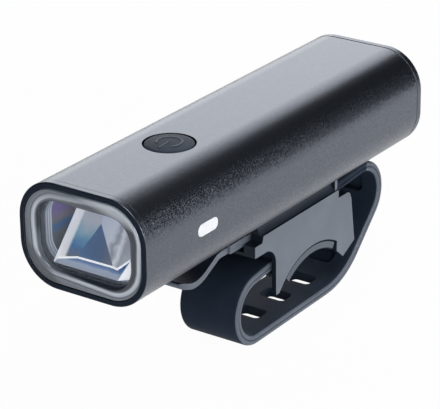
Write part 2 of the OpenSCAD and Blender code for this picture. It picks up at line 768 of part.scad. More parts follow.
module bracket() color("#787f8a") difference() {
    rail_y = lever_pocket_y + gap;
    nose_y = -deck_front - nose_len - over;
    eye_y = lever_pin_y - lever_eye_r - gap;
    lever_half = lever_pocket_w / 2;
    union() {
        side_plate(bracket_w) bracket_outline();
        block(-rail_neck / 2, rail_neck / 2, rail_y, stop_y, deck_z - over, head_z1);
        block(-rail_head / 2, rail_head / 2, rail_y, stop_y, head_z0, head_z1);
        block(-cleat_w / 2, cleat_w / 2, stop_y, deck_rear, deck_z - over, roof_z);
        block(-peg_w / 2, peg_w / 2, peg_y - peg_t / 2, peg_y + peg_t / 2, shelf_z - over, peg_z1);
    }
    // pockets for the lever, the strap's eye and the hollow behind the saddle
    block(-lever_half, lever_half, nose_y, eye_y, lever_z0 - lever_room, deck_z + over);
    block(-lever_half, lever_half, eye_y - over, lever_pocket_y, lever_pocket_z, deck_z + over);
    block(-strap_room / 2, strap_room / 2, nose_y, strap_pocket_y, 0, strap_pocket_z);
    block(-strap_room / 2, strap_room / 2, stop_y, toe_rear[0] + over, 0, shelf_z - shelf_t);
    cross_bar(lever_pin_y, lever_pin_z, lever_pin_d / 2 + pin_fit, -bracket_w, bracket_w / 2 - pin_end);
    cross_bar(strap_pin_y, strap_pin_z, strap_pin_d / 2 + pin_fit, -bracket_w, bracket_w / 2 - pin_end);
    // seat of the saddle pad's stud
    translate([0, 0, bar_r]) cylinder(r = stud_r + pin_fit, h = pad_t + stud_h + fit);
}

module saddle_pad() color("#5d646f") {
    rotate([90, 0, 90]) rotate(90 - pad_rear_angle) rotate_extrude(angle = pad_front_angle + pad_rear_angle)
        translate([bar_r, -pad_w / 2]) square([pad_t - seat_fit, pad_w]);
    translate([0, 0, bar_r + pad_t / 2]) cylinder(r = stud_r, h = pad_t / 2 + stud_h);
}

module release_lever() color("#5f6671") difference() {
    union() {
        half = lever_w / 2;
        block(-half, half, lever_front, lever_pocket_y - gap, lever_z0, lever_z1);
        cross_bar(lever_pin_y, lever_pin_z, lever_eye_r, -half, half);
        block(-half, half, lever_pin_y - lever_eye_r, lever_pin_y + lever_eye_r, lever_pin_z, lever_z1);
        tongue_end = path_end(tongue_start, tongue_steps);
        tongue_len = lever_front - tongue_end[0] + tongue_t / 2;
        intersection() {
            union() {
                ribbon(tongue_start, tongue_steps, tongue_t, tongue_w);
                cross_bar(tongue_end[0], tongue_end[1], tongue_t / 2, -tongue_w / 2, tongue_w / 2);
            }
            translate([0, lever_front, 0]) linear_extrude(lever_z1)
                rounded_rect(tongue_w, 2 * tongue_len, tongue_corner);
        }
    }
    cross_bar(lever_pin_y, lever_pin_z, lever_pin_d / 2 + pin_fit, -lever_w, lever_w);
}

// A pin that is pushed in from the left, as far as the end of its blind hole
module hidden_pin(y, z, d)
    cross_bar(y, z, d / 2, pin_recess - bracket_w / 2, bracket_w / 2 - pin_end - fit);

module lever_pin() color("#9ba0a6")
    hidden_pin(lever_pin_y, lever_pin_z, lever_pin_d);

module strap() color("#232833") difference() {
    union() {
        ribbon(strap_start, strap_steps, strap_t, strap_w);
        cross_bar(strap_pin_y, strap_pin_z, strap_eye_r, -strap_w / 2, strap_w / 2);
    }
    cross_bar(strap_pin_y, strap_pin_z, strap_pin_d / 2 + pin_fit, -strap_w, strap_w);
    for (i = [0 : slot_count - 1]) {
        p = pose_at(strap_start, strap_steps, strap_len - tail_margin - i * slot_pitch);
        open = i == 0 || i >= slot_count - open_slots;
        depth = open ? strap_t + over : pocket_share * strap_t;
        rotate([90, 0, 90]) translate([p[0], p[1], 0]) rotate(p[2]) rotate([90, 0, 0])
            translate([0, 0, -strap_t / 2 - over]) linear_extrude(depth + over)
                rounded_rect(slot_len, slot_w, slot_r);
    }
}

module strap_pin() color("#9ba0a6")
    hidden_pin(strap_pin_y, strap_pin_z, strap_pin_d);

body_shell();
front_bezel();
front_lens();
lens_gasket();
optic_holder();
main_optic();
led_emitter();
led_board();
heat_spreader();
driver_board();
tact_switch();
switch_plunger();
power_button();
side_window_right();
side_window_left();
battery_cell();
battery_cradle();
contact_front();
contact_rear();
rear_cap();
rear_gasket();
rear_cap_screws();
usb_socket();
charge_board();
port_cover();
light_cleat();
cleat_screws();
bracket();
saddle_pad();
release_lever();
lever_pin();
strap();
strap_pin();
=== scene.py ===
# Bike headlight on its handlebar bracket: finishes, fine pieces, studio and camera
import json
import math

import bmesh
import bpy
from mathutils import Matrix, Vector


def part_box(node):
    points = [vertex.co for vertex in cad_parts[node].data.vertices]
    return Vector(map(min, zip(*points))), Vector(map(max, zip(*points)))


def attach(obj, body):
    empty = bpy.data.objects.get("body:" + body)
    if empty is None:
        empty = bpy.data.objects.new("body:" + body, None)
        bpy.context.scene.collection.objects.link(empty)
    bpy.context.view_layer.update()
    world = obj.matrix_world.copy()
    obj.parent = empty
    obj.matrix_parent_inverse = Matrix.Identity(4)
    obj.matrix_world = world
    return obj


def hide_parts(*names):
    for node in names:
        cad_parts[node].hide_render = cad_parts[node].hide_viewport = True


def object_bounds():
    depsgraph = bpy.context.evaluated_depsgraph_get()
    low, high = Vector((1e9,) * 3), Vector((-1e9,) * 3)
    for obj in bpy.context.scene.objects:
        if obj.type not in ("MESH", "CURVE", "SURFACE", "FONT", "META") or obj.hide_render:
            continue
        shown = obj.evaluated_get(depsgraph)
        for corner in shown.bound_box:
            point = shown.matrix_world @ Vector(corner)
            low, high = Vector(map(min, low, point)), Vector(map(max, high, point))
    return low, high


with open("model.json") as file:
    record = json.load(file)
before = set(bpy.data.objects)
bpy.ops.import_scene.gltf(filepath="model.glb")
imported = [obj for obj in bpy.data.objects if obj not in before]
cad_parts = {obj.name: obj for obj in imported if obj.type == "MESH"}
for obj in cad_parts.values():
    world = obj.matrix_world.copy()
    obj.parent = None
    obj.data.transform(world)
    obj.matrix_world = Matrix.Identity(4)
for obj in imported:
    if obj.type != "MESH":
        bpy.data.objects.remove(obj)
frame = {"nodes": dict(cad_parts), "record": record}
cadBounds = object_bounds()
mm = 0.001
scene = bpy.context.scene
scene.view_settings.view_transform = "Standard"
nodes = frame["nodes"]
bodyOfNode = {n: body for body, members in frame["record"]["behaviour"]["bodies"].items() for n in members}
print("frame loaded:", len(nodes), "nodes")


def linear(hexColor):
    # sRGB hex to the linear values that a shader takes
    parts = [int(hexColor[i:i + 2], 16) / 255 for i in (1, 3, 5)]
    return tuple(c / 12.92 if c <= 0.04045 else ((c + 0.055) / 1.055) ** 2.4 for c in parts) + (1.0,)


def perMetre(sizeMm):
    # texture scale for a pattern of this real size
    return 1 / (sizeMm * mm)


def addNode(tree, kind, props=None, values=None, links=None):
    node = tree.nodes.new(kind)
    for name, value in (props or {}).items():
        setattr(node, name, value)
    for name, value in (values or {}).items():
        node.inputs[name].default_value = value
    for name, socket in (links or {}).items():
        tree.links.new(socket, node.inputs[name])
    return node


def newMaterial(name, sockets):
    material = bpy.data.materials.new(name)
    material.use_nodes = True
    tree = material.node_tree
    shader = tree.nodes["Principled BSDF"]
    for socket, value in sockets.items():
        shader.inputs[socket].default_value = value
    place = addNode(tree, "ShaderNodeTexCoord").outputs["Object"]
    return material, tree, shader, place


def rampColors(ramp, stops):
    # stops are pairs of place and hex colour, in order
    elements = ramp.color_ramp.elements
    while len(elements) < len(stops):
        elements.new(0.5)
    for element, (at, hexColor) in zip(elements, stops):
        element.position = at
        element.color = linear(hexColor)


# Moulded plastics and rubbers: a slight cloudiness of tone, and the fine grain of the mould in gloss and bump
cloudSize = 9
glossSway = 0.05
moulded = {
    # the bezel's front face: a dark satin that stands partly for shade on the end face
    "satinAbs": {"dark": "#202a37", "pale": "#26303e", "roughness": 0.45, "grain": 0.35, "bump": 0.012,
                 "specular": 0.06},
    # painted light: pale nylon for the bracket's flat sides, as lit by the lamp at the right
    "nylonLitSides": {"dark": "#6e7580", "pale": "#787f8a", "roughness": 0.50, "grain": 0.22, "bump": 0.020},
    # painted shade: dark nylon for the bracket's other faces and the lever's top and bottom
    "nylonShadedFaces": {"dark": "#1d2530", "pale": "#242d39", "roughness": 0.46, "grain": 0.22, "bump": 0.014,
                  "specular": 0.12},
    # painted light: pale nylon for the lever's edges, as lit from the side
    "leverLitEdges": {"dark": "#6a717c", "pale": "#747b86", "roughness": 0.48, "grain": 0.22, "bump": 0.020},
    "cleatNylon": {"dark": "#222a35", "pale": "#2a3340", "roughness": 0.50, "grain": 0.22, "bump": 0.020,
                   "specular": 0.25},
    "holderAbs": {"dark": "#1b1f26", "pale": "#262b33", "roughness": 0.40, "grain": 0.30, "bump": 0.010},
    "cradleAbs": {"dark": "#1c1f24", "pale": "#25292f", "roughness": 0.55, "grain": 0.30, "bump": 0.015},
    "switchPlastic": {"dark": "#3c4046", "pale": "#474b52", "roughness": 0.50, "grain": 0.20, "bump": 0.010},
    "siliconeStrap": {"dark": "#2c3543", "pale": "#343e4d", "roughness": 0.60, "grain": 0.30, "bump": 0.014,
                      "specular": 0.05},
    # painted light: the strap's side faces, drawn pale as lit from the side
    "siliconeLitEdge": {"dark": "#59616d", "pale": "#656d7a", "roughness": 0.48, "grain": 0.30, "bump": 0.014},
    "siliconeButton": {"dark": "#2d3644", "pale": "#3a4453", "roughness": 0.55, "grain": 0.25, "bump": 0.016,
                       "specular": 0.10},
    "siliconeSign": {"dark": "#3d4653", "pale": "#495260", "roughness": 0.50, "grain": 0.25, "bump": 0.010,
                     "specular": 0.25},
    "siliconeFlap": {"dark": "#1d2026", "pale": "#262a31", "roughness": 0.55, "grain": 0.25, "bump": 0.016},
    # painted light: the pad's flat sides, drawn pale as lit from the side; its other faces take the dark rubber below
    "padRubberLitSides": {"dark": "#5b626d", "pale": "#646b76", "roughness": 0.58, "grain": 0.28, "bump": 0.022},
    "rubberFace": {"dark": "#20262f", "pale": "#282f39", "roughness": 0.60, "grain": 0.28, "bump": 0.022,
                   "specular": 0.15},
    "capSilicone": {"dark": "#4a505a", "pale": "#545a64", "roughness": 0.60, "grain": 0.30, "bump": 0.010},
    "gasketSilicone": {"dark": "#1a1c20", "pale": "#222529", "roughness": 0.60, "grain": 0.30, "bump": 0.010},
    "solderMask": {"dark": "#1f5236", "pale": "#2a6645", "roughness": 0.35, "grain": 0.80, "bump": 0.006},
    "whiteMask": {"dark": "#d6d8da", "pale": "#e6e8ea", "roughness": 0.40, "grain": 0.80, "bump": 0.006},
    "ledPhosphor": {"dark": "#d9bf3a", "pale": "#ecd766", "roughness": 0.45, "grain": 0.30, "bump": 0.006},
    "cellWrap": {"dark": "#2b5a9a", "pale": "#3a6cae", "roughness": 0.30, "grain": 1.20, "bump": 0.006},
}


def mouldedMaterial(name, look):
    material, tree, shader, place = newMaterial(name, {"IOR": 1.5, "Specular IOR Level": look.get("specular", 0.5)})
    cloud = addNode(tree, "ShaderNodeTexNoise", values={"Scale": perMetre(cloudSize), "Detail": 3.0},
                    links={"Vector": place})
    tone = addNode(tree, "ShaderNodeValToRGB", links={"Fac": cloud.outputs["Fac"]})
    rampColors(tone, [(0.3, look["dark"]), (0.7, look["pale"])])
    tree.links.new(tone.outputs["Color"], shader.inputs["Base Color"])
    grain = addNode(tree, "ShaderNodeTexNoise", values={"Scale": perMetre(look["grain"]), "Detail": 2.0},
                    links={"Vector": place})
    gloss = addNode(tree, "ShaderNodeMapRange", links={"Value": grain.outputs["Fac"]},
                    values={"From Min": 0.3, "From Max": 0.7, "To Min": look["roughness"] - glossSway,
                            "To Max": look["roughness"] + glossSway})
    tree.links.new(gloss.outputs["Result"], shader.inputs["Roughness"])
    bump = addNode(tree, "ShaderNodeBump", values={"Strength": 0.5, "Distance": look["bump"] * mm},
                   links={"Height": grain.outputs["Fac"]})
    tree.links.new(bump.outputs["Normal"], shader.inputs["Normal"])
    return material


# Bead-blasted, black anodised aluminium: smooth dark metal whose fine grains glitter where light turns into shade.
# Real blasting is under 0.1 mm; it is drawn at 0.24 mm so that the sparkle shows in the picture.
# The grains lean on faces that look sideways and hardly on those that look up; topFacing is the turn between them.
anodised = {"dark": "#62676f", "mid": "#666b74", "glint": "#6f747d", "glintFrom": 0.86, "roughness": 0.32,
            "grain": 0.24, "leanSide": 0.20, "leanTop": 0.04, "topFacing": (0.55, 0.80)}


def anodisedMaterial(name, look):
    material, tree, shader, place = newMaterial(name, {"Metallic": 1.0, "Roughness": look["roughness"]})
    cells = addNode(tree, "ShaderNodeTexVoronoi", values={"Scale": perMetre(look["grain"])}, links={"Vector": place})
    split = addNode(tree, "ShaderNodeSeparateColor", links={"Color": cells.outputs["Color"]})
    tone = addNode(tree, "ShaderNodeValToRGB", links={"Fac": split.outputs["Red"]})
    rampColors(tone, [(0.0, look["dark"]), (look["glintFrom"], look["mid"]), (1.0, look["glint"])])
    tree.links.new(tone.outputs["Color"], shader.inputs["Base Color"])
    # each grain leans its own way from the face
    facing = addNode(tree, "ShaderNodeNewGeometry").outputs["Normal"]
    upward = addNode(tree, "ShaderNodeSeparateXYZ", links={0: facing})
    lowFace, topFace = look["topFacing"]
    lean = addNode(tree, "ShaderNodeMapRange", links={"Value": upward.outputs["Z"]},
                   values={"From Min": lowFace, "From Max": topFace, "To Min": look["leanSide"],
                           "To Max": look["leanTop"]})
    centred = addNode(tree, "ShaderNodeVectorMath", props={"operation": "SUBTRACT"}, values={1: [0.5] * 3},
                      links={0: cells.outputs["Color"]})
    leant = addNode(tree, "ShaderNodeVectorMath", props={"operation": "MULTIPLY_ADD"},
                    links={0: centred.outputs[0], 1: lean.outputs["Result"], 2: facing})
    normal = addNode(tree, "ShaderNodeVectorMath", props={"operation": "NORMALIZE"}, links={0: leant.outputs[0]})
    tree.links.new(normal.outputs[0], shader.inputs["Normal"])
    return material


# Plain metals inside and in the fasteners: fine turning or plating marks
metals = {
    "platedSteel": {"dark": "#8d9299", "pale": "#b3b8bd", "roughness": 0.28, "grain": 0.5},
    "turnedAluminium": {"dark": "#a5a9ae", "pale": "#c3c7cb", "roughness": 0.34, "grain": 0.4},
    "platedBrass": {"dark": "#a8842f", "pale": "#cfae5a", "roughness": 0.30, "grain": 0.5},
}


def metalMaterial(name, look):
    material, tree, shader, place = newMaterial(name, {"Metallic": 1.0, "Roughness": look["roughness"]})
    grain = addNode(tree, "ShaderNodeTexNoise", values={"Scale": perMetre(look["grain"]), "Detail": 4.0},
                    links={"Vector": place})
    tone = addNode(tree, "ShaderNodeValToRGB", links={"Fac": grain.outputs["Fac"]})
    rampColors(tone, [(0.3, look["dark"]), (0.7, look["pale"])])
    tree.links.new(tone.outputs["Color"], shader.inputs["Base Color"])
    return material


finish = {name: mouldedMaterial(name, look) for name, look in moulded.items()}
finish.update({name: metalMaterial(name, look) for name, look in metals.items()})
finish["anodisedAluminium"] = anodisedMaterial("anodisedAluminium", anodised)

# Clear polycarbonate lens: the thick rim is drawn with painted highlights, pale bands of painted reflection between
# darker ones, while the thin window all but vanishes. The bands follow the rim, by its distance in mm from the
# outline of the body.
polycarbonate = {
    "span": (1.25, 4.25), "lean": (0.022, 0.016), "middleZ": 43, "start": 0.16, "sway": 0.08,
    "paintedBands": [(0.0, "#565d67"), (0.10, "#737a84"), (0.40, "#878e98"), (0.52, "#5a616b"), (0.60, "#c3cad5"),
              (0.78, "#e4e9f0"), (0.88, "#7a818b"), (0.96, "#343b46")],
    # painted patches: an even grey along the top, painted shade in the lower left corner, a painted highlight in the
    # upper right one
    "paintedPatches": [{"towards": (0, 0, 1), "start": 49.5, "full": 52.5, "share": 0.6, "color": "#7f858e"},
                {"towards": (-1, 0, -1), "start": -27.6, "full": -26.0, "share": 0.6, "color": "#3c434e"},
                {"towards": (0.3, 0, 1), "start": 52.4, "full": 54.2, "share": 0.75, "color": "#e4e9f0"}],
}


def polycarbonateMaterials():
    rim, tree, shader, place = newMaterial("lensRimPaintedBands", {"Metallic": 0.15, "Roughness": 0.16, "IOR": 1.58})
    across = addNode(tree, "ShaderNodeAttribute", props={"attribute_name": "across"})
    low, high = polycarbonate["span"]
    band = addNode(tree, "ShaderNodeMapRange", values={"From Min": low, "From Max": high},
                   links={"Value": across.outputs["Fac"]})
    flow = addNode(tree, "ShaderNodeTexNoise", values={"Scale": perMetre(3), "Detail": 2.0}, links={"Vector": place})
    sway = addNode(tree, "ShaderNodeMath", props={"operation": "MULTIPLY_ADD"}, values={1: polycarbonate["sway"]},
                   links={0: flow.outputs["Fac"], 2: band.outputs["Result"]})
    # the pale band of painted highlight lies at the inner edge on the left and below, and nearer the outer edge on
    # the right and above
    axes = addNode(tree, "ShaderNodeSeparateXYZ", links={"Vector": place})
    leanX, leanZ = (v / mm for v in polycarbonate["lean"])
    right = addNode(tree, "ShaderNodeMath", props={"operation": "MULTIPLY_ADD"}, values={1: leanX},
                    links={0: axes.outputs["X"], 2: sway.outputs[0]})
    above = addNode(tree, "ShaderNodeMath", props={"operation": "MULTIPLY_ADD"}, values={1: leanZ},
                    links={0: axes.outputs["Z"], 2: right.outputs[0]})
    level = addNode(tree, "ShaderNodeMath", props={"operation": "SUBTRACT"}, links={0: above.outputs[0]},
                    values={1: leanZ * polycarbonate["middleZ"] * mm - polycarbonate["start"]})
    tone = addNode(tree, "ShaderNodeValToRGB", links={"Fac": level.outputs[0]})
    rampColors(tone, polycarbonate["paintedBands"])
    color = tone.outputs["Color"]
    for patch in polycarbonate["paintedPatches"]:
        along = addNode(tree, "ShaderNodeVectorMath", props={"operation": "DOT_PRODUCT"}, links={0: place},
                        values={1: patch["towards"]})
        share = addNode(tree, "ShaderNodeMapRange", links={"Value": along.outputs["Value"]},
                        values={"From Min": patch["start"] * mm, "From Max": patch["full"] * mm,
                                "To Max": patch["share"]})
        color = addNode(tree, "ShaderNodeMix", props={"data_type": "RGBA"}, values={7: linear(patch["color"])},
                        links={0: share.outputs["Result"], 6: color}).outputs[2]
    tree.links.new(color, shader.inputs["Base Color"])
    window, tree, shader, place = newMaterial("clearPolycarbonate", {"Base Color": linear("#dfe6ee"), "IOR": 1.58,
                                                                     "Alpha": 0.05})
    haze = addNode(tree, "ShaderNodeTexNoise", values={"Scale": perMetre(6), "Detail": 2.0}, links={"Vector": place})
    gloss = addNode(tree, "ShaderNodeMapRange", values={"To Min": 0.02, "To Max": 0.08},
                    links={"Value": haze.outputs["Fac"]})
    tree.links.new(gloss.outputs["Result"], shader.inputs["Roughness"])
    return {"lensRimPaintedBands": rim, "clearPolycarbonate": window}


# Moulded acrylic of the optic: polished facets with soft bands of colour, drawn as painted reflections with a painted
# glow in place of light inside the block.
# Each band runs along one axis, between two places in mm of the shared frame; places are in mm there too.
ripples = {"size": 2.2, "sway": 0.3}
highlightPaint = "#f4f7fa"
acrylic = {
    "acrylicLip": {"axis": "Z", "span": (36.4, 39.0), "paintedGlow": 0.20, "stops": [
        (0.0, "#a9b4c6"), (0.45, "#9fb0cc"), (0.7, "#557cb0"), (1.0, "#3a639c")],
        "paintedHighlight": ((2.2, 0, -1), -20.3, -19.8), "paintedHighlightGlow": 0.65},
    "acrylicNavy": {"axis": "X", "span": (-2.5, 7.0), "paintedGlow": 0.20, "stops": [
        (0.0, "#5880ae"), (0.5, "#51709c"), (0.8, "#7a8390"), (1.0, "#94959a")]},
    "acrylicTeal": {"axis": "Z", "span": (37.6, 46.4), "paintedGlow": 0.25, "stops": [
        (0.0, "#a3a6aa"), (0.16, "#777d86"), (0.32, "#4a86c0"), (0.55, "#8abcd4"), (0.80, "#c9d0d8")],
        "paintedHighlight": ((-1, 0, 0), 5.5, 6.3), "paintedHighlightGlow": 0.40},
    "acrylicFan": {"axis": "X", "span": (0.0, 9.0), "paintedGlow": 0.30, "stops": [
        (0.0, "#c6d0e0"), (0.40, "#d8e0ea"), (0.52, "#9aa3b1"), (0.66, "#eef2f8"), (0.8, "#aab2bd"),
        (1.0, "#c8cfd9")]},
    "acrylicEdgeHighlight": {"axis": "Z", "span": (36.0, 47.0), "paintedGlow": 0.55, "stops": [
        (0.0, "#ffffff"), (0.5, "#e8edf3"), (1.0, "#f4f7fa")]},
}


def acrylicMaterial(name, look):
    material, tree, shader, place = newMaterial(name, {"Roughness": 0.10, "IOR": 1.49,
                                                       "Emission Strength": look["paintedGlow"]})
    axes = addNode(tree, "ShaderNodeSeparateXYZ", links={"Vector": place})
    ripple = addNode(tree, "ShaderNodeTexNoise", values={"Scale": perMetre(ripples["size"]), "Detail": 3.0},
                     links={"Vector": place})
    low, high = (v * mm for v in look["span"])
    run = addNode(tree, "ShaderNodeMapRange", values={"From Min": low, "From Max": high},
                  links={"Value": axes.outputs[look["axis"]]})
    sway = addNode(tree, "ShaderNodeMath", props={"operation": "MULTIPLY_ADD"}, values={1: ripples["sway"]},
                   links={0: ripple.outputs["Fac"], 2: run.outputs["Result"]})
    level = addNode(tree, "ShaderNodeMath", props={"operation": "SUBTRACT"}, values={1: ripples["sway"] / 2},
                    links={0: sway.outputs[0]})
    tone = addNode(tree, "ShaderNodeValToRGB", links={"Fac": level.outputs[0]})
    rampColors(tone, look["stops"])
    color = tone.outputs["Color"]
    if "paintedHighlight" in look:
        # painted highlight along one side of the facet: its direction, and the places where it starts and is full
        direction, start, full = look["paintedHighlight"]
        along = addNode(tree, "ShaderNodeVectorMath", props={"operation": "DOT_PRODUCT"}, values={1: direction},
                        links={0: place})
        share = addNode(tree, "ShaderNodeMapRange", values={"From Min": start * mm, "From Max": full * mm},
                        links={"Value": along.outputs["Value"]})
        mix = addNode(tree, "ShaderNodeMix", props={"data_type": "RGBA"}, values={7: linear(highlightPaint)},
                      links={0: share.outputs["Result"], 6: color})
        color = mix.outputs[2]
        paintedGlow = addNode(tree, "ShaderNodeMapRange", values={"To Min": look["paintedGlow"], "To Max": look["paintedHighlightGlow"]},
                       links={"Value": share.outputs["Result"]})
        tree.links.new(paintedGlow.outputs["Result"], shader.inputs["Emission Strength"])
    tree.links.new(color, shader.inputs["Base Color"])
    tree.links.new(color, shader.inputs["Emission Color"])
    return material


# Vapour-coated sleeve: painted shade at the mouth, then a band of painted highlights, then a throat with the purple
# and blue of a thin coat, all with a faint painted glow.
# Depths in mm behind the front face, heights in mm of the shared frame.
coat = {
    "depthSpan": (1.5, 13.1), "heightSpan": (36.0, 48.0), "throat": 5.1,
    "depths": [(0.0, "#2c323c"), (0.10, "#343b46"), (0.115, "#6d7580"), (0.15, "#b4bcc7"), (0.18, "#767e8a"),
               (0.21, "#ced5de"), (0.24, "#858d98"), (0.285, "#dde3ea"), (0.30, "#5b6068")],
    "heights": [(0.0, "#4a4f57"), (0.35, "#6a6a6c"), (0.5, "#3b6b98"), (0.6, "#7a7676"), (0.8, "#75679a")],
}


def sleeveMaterial():
    material, tree, shader, place = newMaterial("sleeveCoatAndPaintedLight", {"Roughness": 0.22, "IOR": 1.5,
                                                                 "Emission Strength": 0.2})
    axes = addNode(tree, "ShaderNodeSeparateXYZ", links={"Vector": place})
    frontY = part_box("front_bezel")[0].y
    near, far = (frontY + d * mm for d in coat["depthSpan"])
    depth = addNode(tree, "ShaderNodeMapRange", values={"From Min": near, "From Max": far},
                    links={"Value": axes.outputs["Y"]})
    mouth = addNode(tree, "ShaderNodeValToRGB", links={"Fac": depth.outputs["Result"]})
    rampColors(mouth, coat["depths"])
    low, high = (h * mm for h in coat["heightSpan"])
    height = addNode(tree, "ShaderNodeMapRange", values={"From Min": low, "From Max": high},
                     links={"Value": axes.outputs["Z"]})
    throat = addNode(tree, "ShaderNodeValToRGB", links={"Fac": height.outputs["Result"]})
    rampColors(throat, coat["heights"])
    deep = addNode(tree, "ShaderNodeMath", props={"operation": "GREATER_THAN"}, links={0: axes.outputs["Y"]},
                   values={1: frontY + coat["throat"] * mm})
    mix = addNode(tree, "ShaderNodeMix", props={"data_type": "RGBA"},
                  links={0: deep.outputs[0], 6: mouth.outputs["Color"], 7: throat.outputs["Color"]})
    tree.links.new(mix.outputs[2], shader.inputs["Base Color"])
    tree.links.new(mix.outputs[2], shader.inputs["Emission Color"])
    return material


# Milky acrylic of the side windows: a faint painted glow keeps it white on the shaded side
def milkyMaterial():
    material, tree, shader, place = newMaterial("milkyAcrylic", {"Roughness": 0.3, "IOR": 1.49,
                                                                 "Emission Color": linear("#f3f5f8"),
                                                                 "Emission Strength": 0.12})
    cloud = addNode(tree, "ShaderNodeTexNoise", values={"Scale": perMetre(1.5), "Detail": 2.0},
                    links={"Vector": place})
    tone = addNode(tree, "ShaderNodeValToRGB", links={"Fac": cloud.outputs["Fac"]})
    rampColors(tone, [(0.3, "#eceef1"), (0.7, "#f8f9fb")])
    tree.links.new(tone.outputs["Color"], shader.inputs["Base Color"])
    return material


finish.update(polycarbonateMaterials())
finish.update({name: acrylicMaterial(name, look) for name, look in acrylic.items()})
finish["sleeveCoatAndPaintedLight"] = sleeveMaterial()
finish["milkyAcrylic"] = milkyMaterial()
print("materials made:", len(finish))

# Each carried-over CAD node and its finish
nodeFinish = {
    "body_shell": "anodisedAluminium", "front_bezel": "satinAbs", "front_lens": "lensRimPaintedBands",
    "lens_gasket": "gasketSilicone", "optic_holder": "holderAbs", "main_optic": "acrylicNavy",
    "led_emitter": "ledPhosphor", "led_board": "whiteMask", "heat_spreader": "turnedAluminium",
    "driver_board": "solderMask", "tact_switch": "switchPlastic", "switch_plunger": "switchPlastic",
    "power_button": "siliconeButton", "side_window_right": "milkyAcrylic", "side_window_left": "milkyAcrylic",
    "battery_cell": "cellWrap", "battery_cradle": "cradleAbs", "contact_front": "platedBrass",
    "contact_rear": "platedBrass", "rear_cap": "anodisedAluminium", "rear_gasket": "capSilicone",
    "rear_cap_screws": "platedSteel", "usb_socket": "platedSteel", "charge_board": "solderMask",
    "port_cover": "siliconeFlap", "light_cleat": "cleatNylon", "cleat_screws": "platedSteel",
    "bracket": "nylonLitSides", "saddle_pad": "padRubberLitSides", "release_lever": "leverLitEdges",
    "lever_pin": "platedSteel", "strap": "siliconeStrap", "strap_pin": "platedSteel",
}
for name, key in nodeFinish.items():
    nodes[name].data.materials.clear()
    nodes[name].data.materials.append(finish[key])

# Studio: a pale floor and four soft lamps: behind on the left, where the top face mirrors it, above, in front and
# at the right
studio = {"floorSize": 0.8, "floorDrop": 0.2, "floorColor": "#f3f4f6", "floorLift": 0.97, "ambient": 0.08,
          "roomColor": "#b8d0f4", "roomGloss": 0.03, "backdropLow": -0.16, "backdropHigh": -0.06}
lamps = {
    "rearSoftbox": {"at": (-0.44, 0.62, 0.33), "size": (0.70, 0.60), "watts": 3.0},
    "topSoftbox": {"at": (0.25, -0.05, 0.85), "size": (0.50, 0.50), "watts": 3.2},
    "frontSoftbox": {"at": (0.56, -0.65, 0.22), "size": (0.25, 0.35), "watts": 1.6},
    "rightSoftbox": {"at": (0.85, 0.20, 0.30), "size": (0.50, 0.50), "watts": 3.2},
}
objectCentre = (cadBounds[0] + cadBounds[1]) / 2


def backgroundRays(tree):
    # 1 for the rays that should meet the white background: camera, gloss and glass
    path = addNode(tree, "ShaderNodeLightPath")
    seen = addNode(tree, "ShaderNodeMath", props={"operation": "MAXIMUM"},
                   links={0: path.outputs["Is Camera Ray"], 1: path.outputs["Is Glossy Ray"]})
    return addNode(tree, "ShaderNodeMath", props={"operation": "MAXIMUM"},
                   links={0: seen.outputs[0], 1: path.outputs["Is Transmission Ray"]}).outputs[0]


